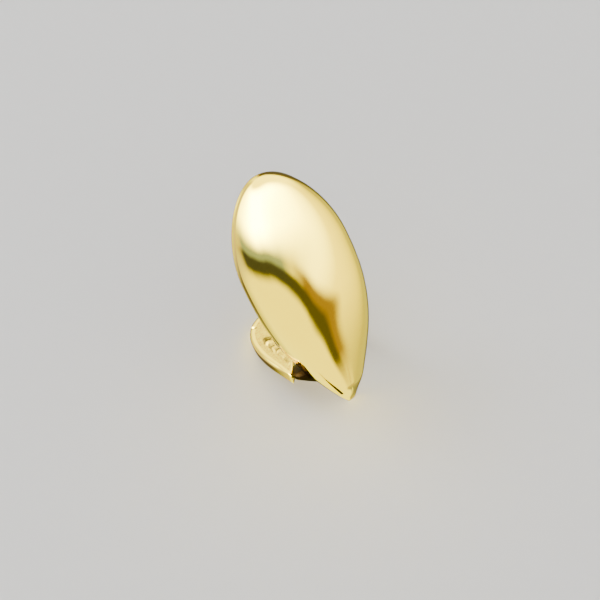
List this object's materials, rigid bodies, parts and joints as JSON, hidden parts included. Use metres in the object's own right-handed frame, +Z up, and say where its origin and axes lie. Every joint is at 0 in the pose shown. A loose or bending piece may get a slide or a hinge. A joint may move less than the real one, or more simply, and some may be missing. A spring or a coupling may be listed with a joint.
{
  "type": "tooth cover",
  "caption": "Fang-shaped hollow metal tooth cover: domed front shell tapering to a keeled tip, with a thin oval band behind it that goes round the tooth.",
  "frame": {"origin": "on the surface, under the middle of the outer box", "axes": "+Z up from the surface, -Y the way the shell's front faces, +X across; the shell's tip is down and its round end up, leaning back towards +Y"},
  "size_m": [0.0076, 0.0096, 0.0165],
  "materials": {
    "gold": "polished outside, left as cast on the band's upper rim and inside"
  },
  "bodies": {
    "root": {"tooth_cover": "gold"}
  },
  "joints": []
}
